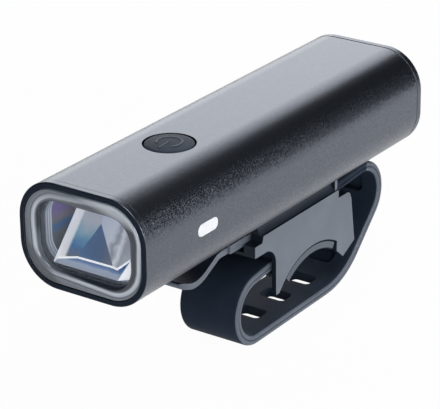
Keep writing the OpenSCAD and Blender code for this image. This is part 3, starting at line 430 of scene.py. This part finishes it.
def makeStudio():
    bm = bmesh.new()
    bmesh.ops.create_grid(bm, x_segments=1, y_segments=1, size=studio["floorSize"] / 2)
    floorZ = cadBounds[0].z - studio["floorDrop"] * mm
    bmesh.ops.translate(bm, verts=bm.verts, vec=(0, 0, floorZ))
    mesh = bpy.data.meshes.new("studioFloor")
    bm.to_mesh(mesh)
    bm.free()
    floor = bpy.data.objects.new("studioFloor", mesh)
    scene.collection.objects.link(floor)
    material, tree, shader, place = newMaterial("palePaper", {"Base Color": linear(studio["floorColor"]),
                                                              "Roughness": 0.9})
    # the camera sees the paper lifted towards white, and its shadow stays
    lift = addNode(tree, "ShaderNodeMath", props={"operation": "MULTIPLY"}, values={1: studio["floorLift"]},
                   links={0: backgroundRays(tree)})
    white = addNode(tree, "ShaderNodeEmission", values={"Color": (1, 1, 1, 1), "Strength": 1.0})
    mix = addNode(tree, "ShaderNodeMixShader", links={0: lift.outputs[0], 1: shader.outputs[0], 2: white.outputs[0]})
    tree.links.new(mix.outputs[0], tree.nodes["Material Output"].inputs["Surface"])
    mesh.materials.append(material)

    world = bpy.data.worlds.new("studioWorld")
    world.use_nodes = True
    scene.world = world
    tree = world.node_tree
    dim = tree.nodes["Background"]
    dim.inputs["Color"].default_value = linear(studio["roomColor"])
    dim.inputs["Strength"].default_value = studio["ambient"]
    # gloss meets white below the horizon, beyond the floor, and a dim room above it; the camera sees white all over
    path = addNode(tree, "ShaderNodeLightPath")
    direction = addNode(tree, "ShaderNodeTexCoord")
    axes = addNode(tree, "ShaderNodeSeparateXYZ", links={"Vector": direction.outputs["Generated"]})
    room = addNode(tree, "ShaderNodeMapRange", links={"Value": axes.outputs["Z"]},
                   values={"From Min": studio["backdropLow"], "From Max": studio["backdropHigh"], "To Min": 1.0,
                           "To Max": studio["roomGloss"]})
    level = addNode(tree, "ShaderNodeMath", props={"operation": "MAXIMUM"},
                    links={0: path.outputs["Is Camera Ray"], 1: room.outputs["Result"]})
    tint = addNode(tree, "ShaderNodeMix", props={"data_type": "RGBA"}, links={0: level.outputs[0]},
                   values={6: linear(studio["roomColor"]), 7: (1, 1, 1, 1)})
    white = addNode(tree, "ShaderNodeBackground", links={"Color": tint.outputs[2], "Strength": level.outputs[0]})
    mix = addNode(tree, "ShaderNodeMixShader",
                  links={0: backgroundRays(tree), 1: dim.outputs[0], 2: white.outputs[0]})
    tree.links.new(mix.outputs[0], tree.nodes["World Output"].inputs["Surface"])

    for name, lamp in lamps.items():
        light = bpy.data.lights.new(name, "AREA")
        light.shape = "RECTANGLE"
        light.size, light.size_y = lamp["size"]
        light.energy = lamp["watts"]
        holder = bpy.data.objects.new(name, light)
        holder.location = lamp["at"]
        holder.rotation_euler = (objectCentre - Vector(lamp["at"])).to_track_quat("-Z", "Y").to_euler()
        scene.collection.objects.link(holder)


makeStudio()
print("studio set")

# Camera: solved from the outline of the body in the photograph
shot = {"azimuth": 35.28, "elevation": 23.60, "roll": 0.79, "distance": 457.66, "aside": 27.522, "above": 8.042,
        "focalPixels": 2300, "imageWidth": 440, "sensor": 36, "clip": (0.01, 20)}


def makeCamera():
    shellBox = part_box("front_bezel")
    frontCentre = Vector((0, shellBox[0].y, (shellBox[0].z + shellBox[1].z) / 2))
    a, e, r = (math.radians(shot[k]) for k in ("azimuth", "elevation", "roll"))
    right = Vector((math.cos(a), math.sin(a), 0))
    back = Vector((math.sin(a) * math.cos(e), -math.cos(a) * math.cos(e), math.sin(e)))
    up = back.cross(right)
    right, up = math.cos(r) * right - math.sin(r) * up, math.sin(r) * right + math.cos(r) * up
    data = bpy.data.cameras.new("photoCamera")
    data.sensor_width = shot["sensor"]
    data.lens = shot["focalPixels"] / shot["imageWidth"] * shot["sensor"]
    data.clip_start, data.clip_end = shot["clip"]
    camera = bpy.data.objects.new("photoCamera", data)
    turn = Matrix((right, up, back)).transposed().to_4x4()
    place = frontCentre + (shot["aside"] * right + shot["above"] * up + shot["distance"] * back) * mm
    camera.matrix_world = Matrix.Translation(place) @ turn
    scene.collection.objects.link(camera)
    scene.camera = camera


makeCamera()
print("camera set")

# Shared steps for the pieces that stand for CAD solids
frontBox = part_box("front_bezel")
cornerRadius = 9.2
weld, fineWeld = 1e-6, 1e-7
section = {"halfWidth": frontBox[1].x, "halfHeight": (frontBox[1].z - frontBox[0].z) / 2, "corner": cornerRadius * mm,
           "frontY": frontBox[0].y, "middleZ": (frontBox[0].z + frontBox[1].z) / 2}


def addPiece(name, bm, materials, node, stands=True, smoothAngle=35):
    mesh = bpy.data.meshes.new(name)
    bm.to_mesh(mesh)
    bm.free()
    for key in materials:
        mesh.materials.append(finish[key])
    mesh.shade_smooth()
    mesh.set_sharp_from_angle(angle=math.radians(smoothAngle))
    piece = bpy.data.objects.new(name, mesh)
    scene.collection.objects.link(piece)
    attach(piece, bodyOfNode[node])
    if stands:
        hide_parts(node)
    return piece


def softenEdges(piece, width, angle=40, segments=2):
    bevel = piece.modifiers.new("softEdges", "BEVEL")
    bevel.width = width * mm
    bevel.segments = segments
    bevel.limit_method = "ANGLE"
    bevel.angle_limit = math.radians(angle)
    bevel.use_clamp_overlap = True
    # large faces keep their own light, right up to the eased edge
    level = piece.modifiers.new("levelFaces", "WEIGHTED_NORMAL")
    level.mode, level.weight, level.keep_sharp = "FACE_AREA", 50, True


def profileLoop(bm, points, rounds):
    # a closed outline from a few corners, each rounded to its own radius in mm
    corners = [bm.verts.new(p) for p in points]
    bm.faces.new(corners)
    for radius in sorted(set(rounds) - {0}):
        bmesh.ops.bevel(bm, geom=[c for c, r in zip(corners, rounds) if r == radius], offset=radius * mm,
                        affect="VERTICES", segments=5, profile=0.5, material=-1)
    return bm.faces[:]


def edgesOf(geom):
    return [g for g in geom if isinstance(g, bmesh.types.BMEdge)]


def vertsOf(geom):
    return [g for g in geom if isinstance(g, bmesh.types.BMVert)]


def drawOut(bm, loop, move):
    # the loop of edges is drawn out along a straight run; gives the loop at the far end
    geom = bmesh.ops.extrude_edge_only(bm, edges=loop)["geom"]
    ends = set(vertsOf(geom))
    bmesh.ops.translate(bm, verts=list(ends), vec=move)
    return [e for e in edgesOf(geom) if ends.issuperset(e.verts)]


def turnOut(bm, loop, centre, axis, angle, steps):
    ends = bmesh.ops.spin(bm, geom=loop, cent=centre, axis=axis, angle=angle, steps=steps)["geom_last"]
    return edgesOf(ends)


def sweepRing(points, rounds, steps=12):
    # points are (inset, depth) in mm from the front outline, carried round the rounded rectangle of the body;
    # each keeps its inset as the attribute "across"
    bm = bmesh.new()
    flatX, flatZ = section["halfWidth"] - section["corner"], section["halfHeight"] - section["corner"]
    y, z = section["frontY"], section["middleZ"]
    profileLoop(bm, [(section["halfWidth"] - i * mm, y + d * mm, z - flatZ) for i, d in points], rounds)
    bmesh.ops.delete(bm, geom=bm.faces[:], context="FACES_ONLY")
    across = bm.verts.layers.float.new("across")
    for vert in bm.verts:
        vert[across] = (section["halfWidth"] - vert.co.x) / mm
    loop = bm.edges[:]
    for side, rise, move in ((1, 1, (0, 0, 2 * flatZ)), (-1, 1, (-2 * flatX, 0, 0)),
                             (-1, -1, (0, 0, -2 * flatZ)), (1, -1, (2 * flatX, 0, 0))):
        loop = drawOut(bm, loop, move)
        loop = turnOut(bm, loop, (side * flatX, 0, z + rise * flatZ), (0, -1, 0), math.pi / 2, steps)
    bmesh.ops.remove_doubles(bm, verts=bm.verts, dist=weld)
    bmesh.ops.recalc_face_normals(bm, faces=bm.faces)
    return bm


# Rigid CAD solids with their moulded or machined edges eased; width in mm.
# Painted light and shade by facing: the bracket's flat sides and the lever's edges are drawn pale, as lit by the lamp
# at the right, and their other faces dark; the bezel's flank is finished like the tube, while its front face keeps a
# dark satin that stands partly for shade.
flatWithin = 0.5
eased = {
    "bodyTube": {"node": "body_shell", "slot": "shell", "width": 0.06},
    # painted shade in part: the front face keeps the dark satin, and the flank takes the tube's finish
    "bezelRing": {"node": "front_bezel", "slot": "bezel", "width": 0.06, "second": "anodisedAluminium",
                  "where": lambda n: n.y > -0.5},
    # painted light and shade: the flat sides take the pale nylon, the other faces the dark one
    "saddleBracket": {"node": "bracket", "slot": "bracket", "width": 0.25, "second": "nylonShadedFaces",
                      "where": lambda n: abs(n.x) < 0.5},
    # painted light and shade: the edges take the pale nylon, the top and bottom faces the dark one
    "thumbLever": {"node": "release_lever", "slot": "lever", "width": 0.22, "second": "nylonShadedFaces",
                   "where": lambda n: abs(n.z) > 0.7},
    "slideCleat": {"node": "light_cleat", "slot": "cleat", "width": 0.18},
    "endCap": {"node": "rear_cap", "slot": "cap", "width": 0.14},
    "portFlap": {"node": "port_cover", "slot": "flap", "width": 0.22},
}


def easedCopy(name, look):
    bm = bmesh.new()
    bm.from_mesh(nodes[look["node"]].data)
    bmesh.ops.remove_doubles(bm, verts=bm.verts, dist=weld)
    bmesh.ops.dissolve_limit(bm, angle_limit=math.radians(flatWithin), verts=bm.verts, edges=bm.edges)
    materials = [nodeFinish[look["node"]]]
    if "second" in look:
        # faces that look another way take a second finish: painted light and shade by facing
        materials.append(look["second"])
        bm.normal_update()
        for face in bm.faces:
            face.material_index = 1 if look["where"](face.normal) else 0
    piece = addPiece(name, bm, materials, look["node"])
    softenEdges(piece, look["width"])


for name, look in eased.items():
    easedCopy(name, look)
print("eased copies:", len(eased))

# Front lens: a thick clear rim with a round bead, and a thin window that sits behind its crest
lens = {"rim": [(1.25, 2.0), (1.25, 0.0), (4.25, 0.0), (4.25, 2.0)], "rimRounds": [0, 0.4, 0.9, 0],
        "windowInset": 2.9, "windowFront": 0.7, "windowBack": 1.5}


def makeLens():
    rim = sweepRing(lens["rim"], lens["rimRounds"])
    addPiece("lensRim", rim, ["lensRimPaintedBands"], "front_lens")
    bm = bmesh.new()
    inset = lens["windowInset"] * mm
    halfX, halfZ = section["halfWidth"] - inset, section["halfHeight"] - inset
    y, z = section["frontY"] + lens["windowFront"] * mm, section["middleZ"]
    corners = [(-halfX, y, z - halfZ), (halfX, y, z - halfZ), (halfX, y, z + halfZ), (-halfX, y, z + halfZ)]
    plate = profileLoop(bm, corners, [cornerRadius - lens["windowInset"]] * 4)
    wall = bmesh.ops.extrude_face_region(bm, geom=plate, use_keep_orig=True)["geom"]
    bmesh.ops.translate(bm, verts=vertsOf(wall), vec=(0, (lens["windowBack"] - lens["windowFront"]) * mm, 0))
    bmesh.ops.recalc_face_normals(bm, faces=bm.faces)
    addPiece("lensWindow", bm, ["clearPolycarbonate"], "front_lens")


makeLens()

# Sleeve inside the optic holder: painted shade behind the lens, a band of painted highlights, then a coated throat
sleeve = {"lining": [(4.27, 1.55), (4.45, 1.55), (4.45, 13.1), (4.27, 13.1)]}
addPiece("holderSleeve", sweepRing(sleeve["lining"], [0, 0, 0, 0]), ["sleeveCoatAndPaintedLight"], "optic_holder", False)

# Optic: a block of clear acrylic cut to flat facets; points are (x, depth, z) in mm, a finish is a place in the list
optic = {
    "low": (-9.2, 1.7, 36.35), "high": (9.2, 13.0, 46.6), "insideDrop": 4, "sameWay": 0.9999,
    "finishes": ["acrylicLip", "acrylicNavy", "acrylicTeal", "acrylicFan", "acrylicEdgeHighlight"],
    "facets": [
        {"points": [(-2.7, 1.7, 38.95), (-0.14, 6.68, 45.1), (6.3, 1.7, 39.05)], "finish": 1},
        {"points": [(-2.7, 1.7, 38.95), (-0.14, 6.68, 45.1), (-7.8, 1.7, 37.6)], "finish": 2},
        {"points": [(6.3, 1.7, 39.05), (-0.14, 6.68, 45.1), (8.6, 3.5, 40.4)], "finish": 3},
        # the left side bar: drawn with the white painted highlight and glow
        {"points": [(-7.5, 1.7, 37.68), (-7.5, 7.7, 44.27), (-9.2, 4.5, 38.9)], "finish": 4},
        {"points": [(7.4, 1.7, 36.0), (7.4, 1.7, 39.0), (9.2, 3.7, 39.0)], "finish": 0},
    ],
    "edge": 0.22, "lipDepth": 2.2, "lipRise": 0.5,
}


def opticPoint(p):
    return Vector((p[0] * mm, section["frontY"] + p[1] * mm, p[2] * mm))


def makeOptic():
    low, high = opticPoint(optic["low"]), opticPoint(optic["high"])
    inside = (low + high) / 2 - Vector((0, 0, optic["insideDrop"] * mm))
    bm = bmesh.new()
    bmesh.ops.create_cube(bm, size=1)
    bmesh.ops.scale(bm, verts=bm.verts, vec=high - low)
    bmesh.ops.translate(bm, verts=bm.verts, vec=(low + high) / 2)
    normals = []
    for facet in optic["facets"]:
        a, b, c = (opticPoint(p) for p in facet["points"])
        normal = (b - a).cross(c - a).normalized()
        if normal.dot(inside - a) > 0:
            normal.negate()
        normals.append((normal, facet["finish"]))
        bmesh.ops.bisect_plane(bm, geom=bm.verts[:] + bm.edges[:] + bm.faces[:], dist=fineWeld, plane_co=a,
                               plane_no=normal, clear_outer=True)
        bmesh.ops.holes_fill(bm, edges=[e for e in bm.edges if e.is_boundary], sides=0)
    bmesh.ops.recalc_face_normals(bm, faces=bm.faces)
    bm.normal_update()
    for face in bm.faces:
        face.material_index = next((f for n, f in normals if face.normal.dot(n) > optic["sameWay"]), 0)
    # the lip's top edges are eased, and their rounds take a painted highlight, white with a painted glow
    lipY, lipZ = low.y + optic["lipDepth"] * mm, low.z + optic["lipRise"] * mm
    sharp = [e for e in bm.edges if all(v.co.y < lipY and v.co.z > lipZ for v in e.verts)]
    edges = bmesh.ops.bevel(bm, geom=sharp, offset=optic["edge"] * mm, affect="EDGES", segments=2, profile=0.5,
                            material=-1)
    for face in edges["faces"]:
        face.material_index = optic["finishes"].index("acrylicEdgeHighlight")
    addPiece("facetOptic", bm, optic["finishes"], "main_optic", smoothAngle=8)


makeOptic()
print("front end made")

# Button: a domed silicone cap with a raised power sign, read from behind by the rider
button = {"radius": 5.4, "crown": 0.40, "drop": 0.14, "edge": 0.35, "skirt": 2.2, "lip": 0.1,
          "rings": (0, 1.3, 2.6, 3.7, 4.6), "signRadius": 2.7, "signGap": 90, "signWidth": 0.55, "signRise": 0.12,
          "signSink": 0.1, "signRound": 0.12, "stem": (0.2, 3.7)}


def makeButton():
    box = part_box("power_button")
    centre = Vector((0, (box[0].y + box[1].y) / 2, 0))
    top = box[1].z / mm - button["drop"]
    rim, lip, edge = button["radius"], button["lip"], button["edge"]

    def domeZ(r):
        return top - button["crown"] * (r / rim) ** 2

    bm = bmesh.new()
    profile = [(r, domeZ(r)) for r in (*button["rings"], rim - edge)]
    profile += [(rim - lip, domeZ(rim) - lip), (rim, domeZ(rim) - edge), (rim, top - button["skirt"])]
    line = [bm.verts.new(centre + Vector((r * mm, 0, z * mm))) for r, z in profile]
    for a, b in zip(line, line[1:]):
        bm.edges.new((a, b))
    bmesh.ops.spin(bm, geom=bm.verts[:] + bm.edges[:], cent=centre, axis=(0, 0, 1), angle=2 * math.pi, steps=64,
                   use_merge=True)
    bmesh.ops.remove_doubles(bm, verts=bm.verts, dist=fineWeld)
    bmesh.ops.holes_fill(bm, edges=[e for e in bm.edges if e.is_boundary], sides=0)
    bmesh.ops.recalc_face_normals(bm, faces=bm.faces)
    addPiece("buttonCap", bm, ["siliconeButton"], "power_button")

    # the sign: an open ring and its stem, the stem towards the front
    half, sink = button["signWidth"] / 2, button["signSink"]
    rise = sink + button["signRise"]
    base = domeZ(button["signRadius"]) - sink
    bar = ((-half, 0), (half, 0), (half, rise), (-half, rise))
    barRounds = [0, 0, button["signRound"], button["signRound"]]
    bm = bmesh.new()
    start = Matrix.Rotation(math.radians(-90 + button["signGap"] / 2), 3, "Z")
    corners = [(button["signRadius"] + x, 0, base + z) for x, z in bar]
    ends = profileLoop(bm, [centre + start @ Vector(c) * mm for c in corners], barRounds)
    bmesh.ops.spin(bm, geom=ends, cent=centre, axis=(0, 0, 1), angle=math.radians(360 - button["signGap"]), steps=40)
    near, far = button["stem"]
    corners = [(x, -near, domeZ(near) - sink + z) for x, z in bar]
    stemBm = bmesh.new()
    face = profileLoop(stemBm, [centre + Vector(c) * mm for c in corners], barRounds)
    moved = bmesh.ops.extrude_face_region(stemBm, geom=face, use_keep_orig=True)["geom"]
    bmesh.ops.translate(stemBm, verts=vertsOf(moved), vec=(0, (near - far) * mm, (domeZ(far) - domeZ(near)) * mm))
    for each in (bm, stemBm):
        bmesh.ops.remove_doubles(each, verts=each.verts, dist=fineWeld)
        bmesh.ops.recalc_face_normals(each, faces=each.faces)
    addPiece("powerSignRing", bm, ["siliconeSign"], "power_button")
    addPiece("powerSignStem", stemBm, ["siliconeSign"], "power_button")


makeButton()
print("button made")

# Strap: one moulded silicone band with a parting groove in its edges, swept along the CAD strap's centre line
strap = {
    "start": (-11.1, 18.5, -173.259), "eyeSkip": 2.0, "halfWidth": 7.6, "halfThick": 1.199, "edgeRound": 0.65,
    "grooveHalf": 0.22, "grooveDeep": 0.28,
    "steps": [("line", 10.228), ("arc", 7.3, 173.759), ("line", 28.4), ("arc", 18.3, 43.5), ("line", 11.105),
              ("arc", 7.1, 140.0), ("line", 12.005)],
    "stepAngle": 6, "leastSteps": 8, "eyeOuter": 2.9, "eyeInner": 1.36, "eyeRound": 0.4,
    "slotLength": 4.3, "slotWidth": 7.0, "slotRound": 1.2, "slotPitch": 10.3, "slotCount": 8, "openSlots": 3,
    "pocketShare": 0.6, "slotFlare": 0.55, "slotEase": 0.2, "slotClear": 1, "tailMargin": 2.6, "tailShadeReach": 13.5,
    "sideFacing": 0.55,
}


def strapPose(distance):
    # centre of the band and its heading at a distance from the eye
    y, z, heading = strap["start"]
    for step in strap["steps"]:
        h = math.radians(heading)
        length = step[1] if step[0] == "line" else step[1] * math.radians(step[2])
        part = min(distance, length)
        if step[0] == "line":
            y, z = y + part * math.cos(h), z + part * math.sin(h)
        else:
            turn = h + part / step[1]
            y, z = y + step[1] * (math.sin(turn) - math.sin(h)), z - step[1] * (math.cos(turn) - math.cos(h))
            heading = math.degrees(turn)
        distance -= part
        if distance <= 0:
            break
    return Vector((0, y * mm, z * mm)), math.radians(heading)


def strapLength():
    return sum(s[1] if s[0] == "line" else s[1] * math.radians(s[2]) for s in strap["steps"])


def makeStrap():
    w, t, g, d = strap["halfWidth"], strap["halfThick"], strap["grooveHalf"], strap["grooveDeep"]
    outline = [(w, -t), (w, -g), (w - d, 0), (w, g), (w, t), (-w, t), (-w, g), (d - w, 0), (-w, -g), (-w, -t)]
    r = strap["edgeRound"]
    place, heading = strapPose(strap["eyeSkip"])
    normal = Vector((0, -math.sin(heading), math.cos(heading)))
    bm = bmesh.new()
    profileLoop(bm, [place + Vector((x * mm, 0, 0)) + normal * n * mm for x, n in outline],
                [r, 0, 0, 0, r, r, 0, 0, 0, r])
    loop = bm.edges[:]
    travelled = 0
    for number, step in enumerate(strap["steps"]):
        place, heading = strapPose(travelled + 1e-6)
        along = Vector((0, math.cos(heading), math.sin(heading)))
        if step[0] == "line":
            length = step[1] - (strap["eyeSkip"] if number == 0 else 0)
            loop = drawOut(bm, loop, along * length * mm)
            travelled += step[1]
        else:
            centre = place + Vector((0, -along.z, along.y)) * step[1] * mm
            steps = max(strap["leastSteps"], round(step[2] / strap["stepAngle"]))
            loop = turnOut(bm, loop, centre, (1, 0, 0), math.radians(step[2]), steps)
            travelled += step[1] * math.radians(step[2])
    bmesh.ops.holes_fill(bm, edges=loop, sides=0)
    bmesh.ops.recalc_face_normals(bm, faces=bm.faces)
    bm.normal_update()
    # painted light: the side faces are drawn pale, as lit from the side, except on the tail, which lies in shade
    # under the light and keeps the dark face colour
    tail = strapPose(strapLength())[0]
    for face in bm.faces:
        place = face.calc_center_median()
        inTailShade = (place - Vector((place.x, *tail.yz))).length < strap["tailShadeReach"] * mm
        face.material_index = 1 if abs(face.normal.x) > strap["sideFacing"] and not inTailShade else 0
    band = addPiece("strapBand", bm, ["siliconeStrap", "siliconeLitEdge"], "strap")

    # the slots are cut in one go, then their edges are eased
    cutters = bmesh.new()
    for i in range(strap["slotCount"]):
        place, heading = strapPose(strapLength() - strap["tailMargin"] - i * strap["slotPitch"])
        slot = bmesh.new()
        clear = strap["slotClear"]
        a, b, top = strap["slotWidth"] / 2 * mm, strap["slotLength"] / 2 * mm, (t + clear) * mm
        # from the inner face down: right through and flared on the lower run, a pocket behind the bar
        through = i == 0 or i >= strap["slotCount"] - strap["openSlots"]
        depth = (2 * t + 2 * clear if through else 2 * t * strap["pocketShare"] + clear) * mm
        face = profileLoop(slot, [(-a, -b, top), (a, -b, top), (a, b, top), (-a, b, top)], [strap["slotRound"]] * 4)
        moved = vertsOf(bmesh.ops.extrude_face_region(slot, geom=face, use_keep_orig=True)["geom"])
        flare = 1 + (strap["slotFlare"] / strap["slotLength"] * 2 if through and i else 0)
        bmesh.ops.scale(slot, verts=moved, vec=(1, flare, 1))
        bmesh.ops.translate(slot, verts=moved, vec=(0, 0, -depth))
        bmesh.ops.recalc_face_normals(slot, faces=slot.faces)
        bmesh.ops.transform(slot, matrix=Matrix.Translation(place) @ Matrix.Rotation(heading, 4, "X"),
                            verts=slot.verts)
        mesh = bpy.data.meshes.new("slotCutter")
        slot.to_mesh(mesh)
        slot.free()
        cutters.from_mesh(mesh)
        bpy.data.meshes.remove(mesh)
    mesh = bpy.data.meshes.new("slotCutters")
    cutters.to_mesh(mesh)
    cutters.free()
    cutter = bpy.data.objects.new("slotCutters", mesh)
    scene.collection.objects.link(cutter)
    cut = band.modifiers.new("slots", "BOOLEAN")
    cut.operation, cut.solver, cut.object = "DIFFERENCE", "EXACT", cutter
    bpy.context.view_layer.update()
    cutMesh = bpy.data.meshes.new_from_object(band.evaluated_get(bpy.context.evaluated_depsgraph_get()))
    band.modifiers.clear()
    band.data = cutMesh
    cutMesh.name = "strapBand"
    bpy.data.objects.remove(cutter)
    softenEdges(band, strap["slotEase"], angle=50)

    # the eye round the anchor pin
    bm = bmesh.new()
    y, z = strap["start"][0], strap["start"][1]
    inner, outer = strap["eyeInner"], strap["eyeOuter"]
    corners = [(-w, inner), (w, inner), (w, outer), (-w, outer)]
    ring = profileLoop(bm, [(x * mm, y * mm, (z + r) * mm) for x, r in corners],
                       [0, 0, strap["eyeRound"], strap["eyeRound"]])
    bmesh.ops.delete(bm, geom=ring, context="FACES_ONLY")
    bmesh.ops.spin(bm, geom=bm.verts[:] + bm.edges[:], cent=(0, y * mm, z * mm), axis=(1, 0, 0), angle=2 * math.pi,
                   steps=40, use_merge=True)
    bmesh.ops.remove_doubles(bm, verts=bm.verts, dist=fineWeld)
    bmesh.ops.recalc_face_normals(bm, faces=bm.faces)
    addPiece("strapEye", bm, ["siliconeStrap"], "strap")


makeStrap()
print("strap made")

# Saddle pad: a rubber strip bent round the bar, with grip grooves on the side that meets the bar
pad = {"inner": 15.9, "outer": 18.05, "halfWidth": 8.85, "front": 38, "rear": 31, "edge": 0.45, "shoulder": 0.6,
       "grooves": (-4.5, 0.0, 4.5), "grooveHalf": 0.5, "grooveDeep": 0.5, "grooveFloor": 0.6, "grooveRound": 0.15,
       "sideFacing": 0.95, "ease": 0.3, "easeAngle": 60}


def makePad():
    a, b, w = pad["inner"], pad["outer"], pad["halfWidth"]
    outline, rounds = [(-w, b), (-w, a)], [pad["shoulder"], pad["edge"]]
    half, floor = pad["grooveHalf"], pad["grooveFloor"] * pad["grooveHalf"]
    for x in pad["grooves"]:
        deep = a + pad["grooveDeep"]
        outline += [(x - half, a), (x - floor, deep), (x + floor, deep), (x + half, a)]
        rounds += [pad["grooveRound"]] * 4
    outline += [(w, a), (w, b)]
    rounds += [pad["edge"], pad["shoulder"]]
    turn = Matrix.Rotation(math.radians(pad["front"]), 3, "X")
    bm = bmesh.new()
    face = profileLoop(bm, [turn @ Vector((x * mm, 0, r * mm)) for x, r in outline], rounds)
    bmesh.ops.spin(bm, geom=face, cent=(0, 0, 0), axis=(1, 0, 0), angle=-math.radians(pad["front"] + pad["rear"]),
                   steps=32)
    bmesh.ops.recalc_face_normals(bm, faces=bm.faces)
    bm.normal_update()
    # painted light: the flat sides are drawn pale, as lit from the side; the other faces take the dark rubber
    for face in bm.faces:
        face.material_index = 0 if abs(face.normal.x) > pad["sideFacing"] else 1
    piece = addPiece("saddleLiner", bm, ["padRubberLitSides", "rubberFace"], "saddle_pad")
    softenEdges(piece, pad["ease"], angle=pad["easeAngle"])


makePad()
print("pad made")
